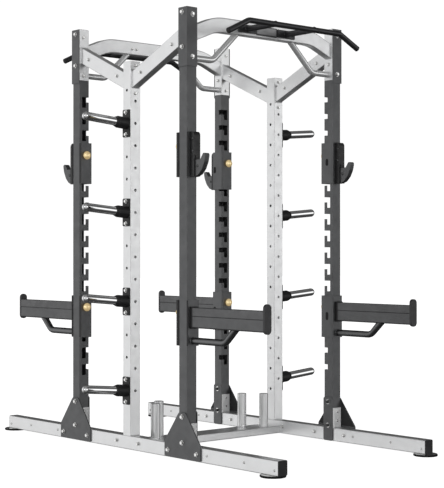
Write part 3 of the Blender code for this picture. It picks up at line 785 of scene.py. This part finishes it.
def gussets():
    spots = [(0, z) for z in TAB_BOLTS_Z]
    spots += [(side * GUSSET_BOLT_U, GUSSET_BOLT_Z) for side in (-1, 1)]
    for c in corners:
        node = NODES["base_gusset_" + c.name]
        keep(node, dark, 0.0012)
        face = HALF + GAP + GUSSET
        for u, z in spots:
            hex_bolt(bolts, c.at(u, face, z), c.out_y(), turn=0.2 + z * 9 + u)


def gusset_shade_sheets():
    """Thin black sheets behind the wings of each gusset, painted shade on their inner sides."""
    wing = ((0.0430, 0.100), (0.0430, 0.238), (0.0500, 0.228), (0.1460, 0.104), (0.1460, 0.100))
    for c in corners:
        shade_sheets = bmesh.new()
        for side in (-1, 1):
            absorb(shade_sheets, loft([
                [c.at(side * u, v, z) for u, z in wing] for v in (HALF - 0.0008, HALF + 0.0004)
            ]))
        piece("gusset_shade_sheet_" + c.name, shade_sheets, plastic, FRAME, ())


def keep(node, material, bevel, segments=2):
    """A CAD node that stays, with its finish and softened edges."""
    node.data.materials.clear()
    node.data.materials.append(material)
    tool = node.modifiers.new("soften", "BEVEL")
    tool.width = bevel
    tool.segments = segments
    tool.limit_method = "ANGLE"
    tool.angle_limit = math.radians(38)
    tool.use_clamp_overlap = True
    tool.harden_normals = False
    node.data.shade_smooth()
    node.data.set_sharp_from_angle(angle=math.radians(38))
    weigh = node.modifiers.new("weigh", "WEIGHTED_NORMAL")
    weigh.keep_sharp = True


def arch_rings(x, reach):
    """Rounded sections of the arch from one end to the other."""
    middle = ARCH_TOP - ARCH_HEIGHT / 2
    half = []
    for k in range(ARCH_BEND_STEPS + 1):
        angle = ARCH_BEND_ANGLE * k / ARCH_BEND_STEPS
        y = ARCH_BEND_START + ARCH_BEND_RADIUS * math.sin(angle)
        z = middle - ARCH_BEND_RADIUS * (1 - math.cos(angle))
        half.append((y, z, Vector((0, math.sin(angle), math.cos(angle)))))
    y, z, _ = half[-1]
    tip = z - (reach - y) * math.tan(ARCH_BEND_ANGLE)
    half.append((reach, tip, Vector((0, 0, 1 / math.cos(ARCH_BEND_ANGLE)))))
    outline = round_outline(ARCH_WIDTH, ARCH_HEIGHT, ARCH_RADIUS)
    sections = []
    for y, z, up in reversed(half):
        sections.append([Vector((x + a, y, z)) + up * b for a, b in outline])
    for y, z, up in half:
        flipped = Vector((up.x, -up.y, up.z))
        sections.append([Vector((x + a, -y, z)) + flipped * b for a, b in outline])
    return sections


def head():
    for name, side in ENDS:
        near, far = posts["near_" + name], posts["far_" + name]
        x = (near.x + far.x) / 2
        face = abs(near.y) - HALF
        body = loft(arch_rings(x, face + 0.001))
        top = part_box("head_frame_" + name)[1].z
        braces = bmesh.new()
        for c in (near, far):
            absorb(body, c.slab(
                (-HALF, -HALF, HEAD_BOTTOM), (HALF, HALF, top), TUBE_RADIUS, axis=2,
                segments=5, edge=0.0006))
            sy = c.side_y
            start = (x, sy * (face + 0.001), BRACE_Z)
            bend = (x, sy * BRACE_BEND_Y, BRACE_Z)
            end = (x, sy * BRACE_END_Y, ARCH_TOP - ARCH_HEIGHT + 0.012)
            route = [start, *arc(start, bend, end, BRACE_FILLET, 10), end]
            absorb(braces, sweep(route, BRACE_RADIUS, 28))
            root = (x, sy * (face - 0.0006), BRACE_Z)
            weld_loop(welds, round_loop(root, BRACE_RADIUS + 0.0008, 1), WELD_FINE)
            section = arch_rings(x, face)[0 if sy > 0 else -1]
            weld_loop(welds, [p + Vector((0, -sy * 0.0006, 0)) for p in section[::5]], 0.0024)
            plug = slab(
                c.at(-HALF + 0.004, -HALF + 0.004, top - 0.0005),
                c.at(HALF - 0.004, HALF - 0.004, top + CAP_RISE), 0.0015, segments=3)
            piece("head_cap_" + c.name, plug, plastic, FRAME, ())
        piece("head_braces_" + name, braces, silver_gloss, FRAME, ())
        piece("head_weldment_" + name, body, silver, FRAME, ["head_frame_" + name])
        outer = x + side * ARCH_WIDTH / 2
        backing = slab(
            (outer, -0.0805, 2.3655), (outer + side * 0.0016, 0.0805, 2.4185),
            0.0045, axis=0, edge=0.0005)
        piece("panel_backing_" + name, backing, steel_black, FRAME, ())
        badge = slab(
            (outer + side * 0.0010, -0.0750, 2.3735), (outer + side * 0.0030, 0.0750, 2.4135),
            0.0040, axis=0, edge=0.0006)
        piece("blank_panel_" + name, badge, panel_grey, FRAME, ())
        for sy in (-1, 1):
            for y in (0.1945, 0.1595):
                spot = (x - side * ARCH_WIDTH / 2, sy * y, 2.390)
                hex_bolt(bolts, spot, (-side, 0, 0), *ARCH_BOLT)
    for c in corners:
        keep(NODES["head_angle_" + c.name], dark, 0.0009)
        out = HALF + GAP + ANGLE
        for z in (2.440, 2.251):
            hex_bolt(bolts, c.at(0.0, out, z), c.out_y(), turn=z)
        for z in (2.427, 2.197):
            hex_bolt(bolts, c.at(out, 0.0, z), c.out_x(), turn=z * 3)
        for z in (2.419, 2.190):
            hex_bolt(bolts, c.at(-HALF, 0.006, z), c.out_x(-1), *SMALL_BOLT, turn=z)
        hex_bolt(bolts, c.at(0.0, -HALF, 2.257), c.out_y(-1), *SMALL_BOLT)


def v_arms():
    for c in corners:
        node = "v_arm_" + c.name
        low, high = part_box(node)
        inner, outer = sorted((abs(low.x), abs(high.x)))
        y = (low.y + high.y) / 2
        outline = round_outline(V_ARM_WIDTH, V_ARM_HEIGHT, 0.0045)
        rings = []
        for reach in (inner, outer):
            z = V_ARM_POST_Z + V_ARM_SLOPE * (reach - inner)
            rings.append([Vector((c.side_x * reach, y + a, z + b)) for a, b in outline])
        piece("incline_tube_" + c.name, loft(rings), silver, FRAME, [node])
        for reach in (inner + 0.0007, outer - 0.0007):
            z = V_ARM_POST_Z + V_ARM_SLOPE * (reach - inner)
            loop = square_loop((c.side_x * reach, y, z), V_ARM_WIDTH / 2, V_ARM_HEIGHT / 2, 0)
            weld_loop(welds, loop, WELD_FINE)
        for x, z in V_ARM_BOLTS:
            for face in (-1, 1):
                spot = (c.side_x * x, y + face * V_ARM_WIDTH / 2, z)
                hex_bolt(bolts, spot, (0, face, 0), *SMALL_BOLT, turn=x * 9)


def centre_posts():
    reach = 0.09
    drill = ((0, -reach), (HOLE_RADIUS, -reach), (HOLE_RADIUS, reach), (0, reach))
    wall = Vector((POST_WALL, POST_WALL, 0))
    over = Vector((0, 0, 0.01))
    for row, _ in ROWS:
        node = "centre_post_" + row
        low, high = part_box(node)
        tube = to_object("peg_post_" + row, slab(low, high, TUBE_RADIUS, axis=2, segments=5))
        carve(tube, to_object("core", slab(
            low + wall - over, high - wall + over, 0.0035, axis=2, segments=3)))
        holes = bmesh.new()
        centre = (low + high) / 2
        half = (high.x - low.x) / 2
        count = int((high.z - 0.40) / HOLE_PITCH)
        for n in range(count + 1):
            for start, axis in ((PEG_FIRST, "Y"), (PEG_FIRST - HOLE_PITCH / 2, "X")):
                z = start + HOLE_PITCH * n
                place = Matrix.Translation((centre.x, centre.y, z))
                absorb(holes, turned(drill, 16, place @ Matrix.Rotation(math.pi / 2, 4, axis)))
        carve(tube, to_object("holes", holes))
        dress(tube, silver, FRAME, [node])
        plug = slab(
            (low.x + 0.001, low.y + 0.001, high.z - 0.0015),
            (high.x - 0.001, high.y - 0.001, high.z + CAP_RISE), 0.0016, segments=3)
        piece("post_cap_" + row, plug, silver, FRAME, ())
        weld_loop(welds, square_loop(
            (centre.x, centre.y, RAIL_TOP + 0.0012), half, RAIL_WIDTH / 2 - 0.003, 2))
        for side in (-1, 1):
            for z in (2.041, 2.199):
                hex_bolt(bolts, (centre.x + side * half, centre.y, z), (side, 0, 0), *SMALL_BOLT)


def pegs():
    for row, side_y in ROWS:
        post_low, post_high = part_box("centre_post_" + row)
        face = post_low.y if side_y < 0 else post_high.y
        for index in range(1, 5):
            node = f"storage_peg_{row}_{index}"
            low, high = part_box(node)
            reach = high.y - low.y - GAP
            z = PEG_FIRST + (index - 1) * 4 * HOLE_PITCH
            foot = Vector((0.0, face + side_y * GAP, z))
            plate = prism(
                round_outline(PEG_PLATE_WIDTH, PEG_PLATE_HEIGHT, 0.008), PEG_PLATE,
                Matrix.Translation(foot + Vector((0, side_y * PEG_PLATE / 2, 0)))
                @ Matrix.Rotation(math.pi / 2, 4, "X"), 0.0010)
            for dz in (-PEG_BOLT_Z, PEG_BOLT_Z):
                spot = foot + Vector((0, side_y * PEG_PLATE, dz))
                hex_bolt(bolts, spot, (0, side_y, 0), *PEG_BOLT, turn=index + dz)
            way = Vector((0, side_y * math.cos(PEG_TILT), math.sin(PEG_TILT)))
            place = facing(way, foot)
            hub_end = PEG_HUB_LENGTH
            cone_end = hub_end + PEG_CONE
            hub = turned((
                (0.0, 0.002), (PEG_HUB_RADIUS, 0.002), (PEG_HUB_RADIUS, hub_end - 0.003),
                (PEG_HUB_RADIUS - 0.001, hub_end), (PEG_RADIUS + 0.0025, cone_end - 0.001),
                (PEG_RADIUS + 0.0012, cone_end), (PEG_RADIUS, cone_end), (0.0, cone_end),
            ), 48, place)
            absorb(plate, hub)
            tip = reach / math.cos(PEG_TILT)
            rod = [(0.0, hub_end), (PEG_RADIUS, hub_end)]
            round_from = tip - PEG_RADIUS
            for k in range(9):
                angle = math.pi / 2 * k / 8
                z = round_from + PEG_RADIUS * 0.98 * math.sin(angle)
                rod.append((PEG_RADIUS * math.cos(angle), z))
            rod[-1] = (0.0, rod[-1][1])
            name = f"{row}_{index}"
            shaft = turned(rod, 56, place)
            piece("peg_shaft_" + name, shaft, chrome, FRAME, [node], 40)
            piece("peg_hub_" + name, plate, plastic, FRAME, ())


def handles():
    for name, side in ENDS:
        node = "pull_up_handle_" + name
        low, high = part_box(node)
        x = (high.x - BAR_RADIUS) if side > 0 else (low.x + BAR_RADIUS)
        arch_face = low.x if side > 0 else high.x
        ends = [Vector((x, s * BAR_END_Y, BAR_END_Z)) for s in (-1, 1)]
        bends = [Vector((x, s * BAR_BEND_Y, BAR_Z)) for s in (-1, 1)]
        path = [ends[0], *arc(ends[0], bends[0], bends[1], BAR_FILLET, 10)]
        last_bend = arc(bends[0], bends[1], ends[1], BAR_FILLET, 10)
        start = path[-1]
        path += [start.lerp(last_bend[0], k / 12) for k in range(1, 12)]
        path += [*last_bend, ends[1]]
        body = sweep(path, BAR_RADIUS, 32)
        caps = bmesh.new()
        for end, inward in ((ends[0], path[1] - ends[0]), (ends[1], path[-2] - ends[1])):
            out = -inward.normalized()
            absorb(caps, turned((
                (0.0, -0.001), (BAR_RADIUS + 0.0002, -0.001), (BAR_RADIUS + 0.0002, 0.0008),
                (BAR_RADIUS - 0.002, 0.0028), (BAR_RADIUS * 0.5, 0.0036), (0.0, 0.0038),
            ), 32, facing(out, end)))
        for sy in (-1, 1):
            y = sy * GRIP_Y
            root = Vector((arch_face + side * FLANGE * 0.6, y, GRIP_Z))
            grip = [root.lerp(Vector((x, y, GRIP_Z)), k / 6) for k in range(7)]
            absorb(body, sweep(grip, GRIP_RADIUS, 32))
            plate = slab(
                (arch_face, y - FLANGE_HALF, GRIP_Z - FLANGE_HEIGHT / 2),
                (arch_face + side * FLANGE, y + FLANGE_HALF, GRIP_Z + FLANGE_HEIGHT / 2),
                0.0045, axis=0, edge=0.0012)
            absorb(body, plate)
            seat = (arch_face + side * (FLANGE + 0.0008), y, GRIP_Z)
            weld_loop(body, round_loop(seat, GRIP_RADIUS + 0.001, 0), 0.0020)
            for dy in (-0.052, 0.052):
                spot = (arch_face + side * FLANGE, y + dy, GRIP_Z)
                button_bolt(black_bolts, spot, (side, 0, 0), *FLANGE_SCREW)
        piece("handle_bar_" + name, body, steel_black, FRAME, [node])
        piece("handle_caps_" + name, caps, plastic, FRAME, ())


# Sliding collars --------------------------------------------------------------

def collar_trim(c, body, low, high, prefix):
    """Liner strips that show at the open edge of a collar."""
    near = HALF + CLEAR
    lip = HALF + 0.002
    trim = bmesh.new()
    for start, end in ((-near - 0.0185, -near + 0.0002), (near + 0.0002, near + 0.0095)):
        absorb(trim, c.slab(
            (start, lip - 0.0004, low + 0.001), (end, lip + 0.0012, high - 0.001),
            0.0006, segments=2))
    piece(prefix + "_trim_" + c.name, trim, plastic, body, ())


def front_insert(c, body, low, high, prefix):
    """Black insert in the collar's inner plate, further out on the left posts."""
    front = -HALF - CLEAR - FRONT
    centre = c.at(-0.002 if c.side_x > 0 else 0.021, 0, (low + high) / 2)
    rings = []
    for v, grow in ((front + 0.004, 1.0), (front - 0.0004, 1.0), (front - 0.0009, 0.93)):
        y = c.at(0, v, 0).y
        rings.append([
            Vector((centre.x + a * grow, y, centre.z + b * grow))
            for a, b in round_outline(0.022, high - low, 0.0105)
        ])
    piece(prefix + "_insert_" + c.name, loft(rings), rubber, body, ())


def knob(c, kind):
    body = f"{kind}_knob_{c.name}"
    low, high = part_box(body)
    inward = -c.side_x
    apex = low.x if inward < 0 else high.x
    axis = Vector((apex, (low.y + high.y) / 2, (low.z + high.z) / 2))
    place = facing((inward, 0, 0), axis)
    neck = 0.0105
    back = -KNOB_REACH + 0.0055
    dome = [
        (0.0, back - 0.0049), (neck, back - 0.0049), (neck, back),
        (KNOB_RADIUS * 0.80, back + 0.0004), (KNOB_RADIUS * 0.93, back + 0.0022),
    ]
    crown = 0.0175
    undercut = math.radians(12.0)
    for k in range(12):
        angle = -undercut + (math.pi / 2 + undercut) * k / 11
        radius = KNOB_RADIUS * math.cos(angle) if k < 11 else 0.0
        dome.append((radius, crown * math.sin(angle) - crown))
    tip = low.x - high.x
    pin = turned((
        (0.0, tip), (PIN_RADIUS - 0.001, tip), (PIN_RADIUS, tip + 0.001),
        (PIN_RADIUS, -KNOB_REACH), (0.0, -KNOB_REACH),
    ), 20, place)
    pull = turned(dome, 56, place)
    piece(f"{kind}_pull_{c.name}", pull, amber, body, [body], 40)
    piece(f"{kind}_pin_{c.name}", pin, zinc, body, ())


def hooks():
    floor, top = 1.6342, 1.6372
    cup = (
        (0.0805, floor), (0.1200, floor), (0.1200, top),
        (0.0835, top), (0.0835, 1.660), (0.0805, 1.660),
    )
    for c in corners:
        body = "bar_hook_" + c.name
        low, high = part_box(body)
        keep(NODES[body], dark, 0.0014, 3)
        keep(NODES["hook_liner_" + c.name], liner, 0.0012)
        collar_trim(c, body, low.z, high.z, "hook")
        front_insert(c, body, 1.651, 1.693, "hook")
        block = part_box("hook_liner_" + c.name)
        half = (block[1].y - block[0].y) / 2
        out = abs(block[1].x if c.side_x > 0 else block[0].x) - abs(c.x)
        screws = bmesh.new()
        places = [(out - 0.014, half, z) for z in HOOK_SCREWS_Z] + [(0.098, 0.015, 1.600)]
        for u, v, z in places:
            for sign in (-1, 1):
                button_bolt(screws, c.at(u, sign * v, z), c.out_y(sign), *HOOK_SCREW)
        piece("hook_screws_" + c.name, screws, dark_gloss, body, ())
        pad = prism(cup, 0.0270, Matrix.Identity(4), 0.0006)
        turn = Matrix(((c.side_x, 0, 0, c.x), (0, 0, 1, c.y), (0, 1, 0, 0), (0, 0, 0, 1)))
        form = bmesh.new()
        absorb(form, pad, turn)
        piece("cup_liner_" + c.name, form, liner, body, ())
        knob(c, "hook")


def safety_arms():
    for c in corners:
        body = "safety_arm_" + c.name
        low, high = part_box(body)
        keep(NODES[body], dark, 0.0014, 3)
        collar_trim(c, body, *ARM_COLLAR, "arm")
        front_insert(c, body, 0.730, 0.778, "arm")
        start = abs(c.x) + 0.045 + 0.0005
        end = max(abs(low.x), abs(high.x)) - STOP_LENGTH + 0.0005

        def along(x_from, x_to, half_width, z_low, z_high, *args, **kwargs):
            return slab(
                (c.side_x * x_from, c.y - half_width, z_low),
                (c.side_x * x_to, c.y + half_width, z_high), *args, **kwargs)

        block = along(start, ROOT_END_X, 0.0235, 0.7225, 0.8410, 0.0030, segments=3)
        piece("arm_root_" + c.name, block, plastic, body, ())
        cap = along(
            ROOT_END_X, end - 0.0005, 0.0226, SEAM_Z, 0.8362, 0.0034, axis=0, edge=0.0006)
        piece("arm_wear_cap_" + c.name, cap, wear_cap, body, ())
        tube = along(ROOT_END_X, end - 0.0005, 0.0219, 0.7288, SEAM_Z - 0.0004, 0.0052, axis=0)
        piece("arm_tube_" + c.name, tube, dark, body, ())
        tip = high.x if c.side_x > 0 else -low.x
        length = STOP_LENGTH + 0.0012
        centre = (c.side_x * (tip + 0.0008 - length / 2), c.y, (SAFETY_HIGH + SAFETY_LOW) / 2)
        stop = prism(
            round_outline(0.0462, SAFETY_HIGH - SAFETY_LOW, 0.0228, 8), length,
            facing((c.side_x, 0, 0), centre), 0.0022)
        piece("arm_stop_" + c.name, stop, stop_black, body, ())
        # Painted shade: the black strip along the arm's lower edge stands for the shade there;
        # the thin strip higher up is the seam under the wear cap.
        trim = along(
            ROOT_END_X, end + 0.0005, 0.0227, 0.7262, 0.7325, 0.0028, axis=0, segments=3)
        absorb(trim, along(ROOT_END_X, end + 0.0005, 0.0223, 0.7880, 0.7906))
        piece("arm_trim_" + c.name, trim, plastic, body, ())
        root = Vector((c.side_x * STRUT_ROOT_X, c.y, STRUT_Z))
        bend = Vector((c.side_x * STRUT_BEND_X, c.y, STRUT_Z))
        tip = Vector((c.side_x * STRUT_END_X, c.y, 0.7340))
        route = [root, *arc(root, bend, tip, STRUT_FILLET, 12), tip]
        strut = sweep(route, STRUT_RADIUS + 0.0004, 32)
        piece("arm_strut_" + c.name, strut, dark_gloss, body, ())
        bead = bmesh.new()
        weld_loop(bead, round_loop(root, STRUT_RADIUS + 0.001, 0), 0.0020)
        piece("arm_bead_" + c.name, bead, dark, body, ())
        knob(c, "arm")


rails()
feet()
cross_member()
uprights()
gussets()
gusset_shade_sheets()
head()
v_arms()
centre_posts()
pegs()
handles()
hooks()
safety_arms()
piece("frame_bolts", bolts, zinc, FRAME, (), 25)
piece("frame_black_bolts", black_bolts, stop_black, FRAME, (), 25)
piece("frame_screws", pins, zinc, FRAME, ())
piece("frame_welds", welds, silver, FRAME, (), 60)


# Studio ---------------------------------------------------------------------

# Soft lights in the world around the rack: direction, narrowness, strength
LIGHTS = (
    ((-0.753, -0.657, 0.05), 5.0, 1.08),
    ((0.753, 0.657, 0.05), 28.0, 1.60),
    ((0.753, -0.657, 0.12), 3.0, 0.60),
    ((0.0, 0.0, 1.0), 3.0, 0.16),
    ((0.995, -0.06, 0.10), 110.0, 5.0),
    ((0.34, -0.94, 0.15), 70.0, 2.6),
)
AMBIENT = 0.05
BACKDROP = 1.05


def floor():
    bm = bmesh.new()
    bmesh.ops.create_grid(bm, x_segments=1, y_segments=1, size=40.0)
    obj = to_object("studio_floor", bm)
    f = Finish("studio_floor")
    s = f.shader.inputs
    tone = f.colours(f.noise(0.8, 2.0), (0.86, 0.86, 0.86), (0.88, 0.88, 0.88))
    f.link(tone, s["Base Color"])
    s["Roughness"].default_value = 0.9
    s["Specular IOR Level"].default_value = 0.0
    s["Emission Color"].default_value = (1.0, 1.0, 1.0, 1.0)
    s["Emission Strength"].default_value = 0.92
    obj.data.materials.append(f.material)
    obj.visible_glossy = False
    obj.visible_diffuse = False


def studio():
    """Plain white to the camera, and the soft lights to everything else."""
    world = bpy.data.worlds.new("studio")
    scene.world = world
    world.use_nodes = True
    tree = world.node_tree
    tree.nodes.clear()
    out = tree.nodes.new("ShaderNodeOutputWorld")
    way = tree.nodes.new("ShaderNodeTexCoord").outputs["Generated"]

    def maths(operation, a, b):
        node = tree.nodes.new("ShaderNodeMath")
        node.operation = operation
        for socket, value in zip(node.inputs, (a, b)):
            if isinstance(value, (int, float)):
                socket.default_value = value
            else:
                tree.links.new(value, socket)
        return node.outputs[0]

    def lobe(direction, power, strength):
        node = tree.nodes.new("ShaderNodeVectorMath")
        node.operation = "DOT_PRODUCT"
        tree.links.new(way, node.inputs[0])
        node.inputs[1].default_value = Vector(direction).normalized()
        reach = maths("MAXIMUM", node.outputs["Value"], 0.0)
        return maths("MULTIPLY", maths("POWER", reach, power), strength)

    total = lobe(*LIGHTS[0])
    for light in LIGHTS[1:]:
        total = maths("ADD", total, lobe(*light))
    total = maths("ADD", total, AMBIENT)
    shine = tree.nodes.new("ShaderNodeBackground")
    joined = tree.nodes.new("ShaderNodeCombineXYZ")
    for socket in joined.inputs:
        tree.links.new(total, socket)
    tree.links.new(joined.outputs[0], shine.inputs["Color"])
    plain = tree.nodes.new("ShaderNodeBackground")
    plain.inputs["Color"].default_value = (1.0, 1.0, 1.0, 1.0)
    plain.inputs["Strength"].default_value = BACKDROP
    path = tree.nodes.new("ShaderNodeLightPath")
    mix = tree.nodes.new("ShaderNodeMixShader")
    tree.links.new(path.outputs["Is Camera Ray"], mix.inputs[0])
    tree.links.new(shine.outputs[0], mix.inputs[1])
    tree.links.new(plain.outputs[0], mix.inputs[2])
    tree.links.new(mix.outputs[0], out.inputs["Surface"])


def camera():
    data = bpy.data.cameras.new("photo_view")
    data.lens = 98.79
    data.sensor_width = 36.0
    eye = bpy.data.objects.new("photo_view", data)
    eye.location = (6.1153, -5.2107, 1.1377)
    eye.rotation_euler = (math.pi / 2 + 0.0058, 0.0, 0.8535)
    data.clip_end = 200.0
    scene.collection.objects.link(eye)
    scene.camera = eye


floor()
studio()
camera()
scene.view_settings.view_transform = "Standard"
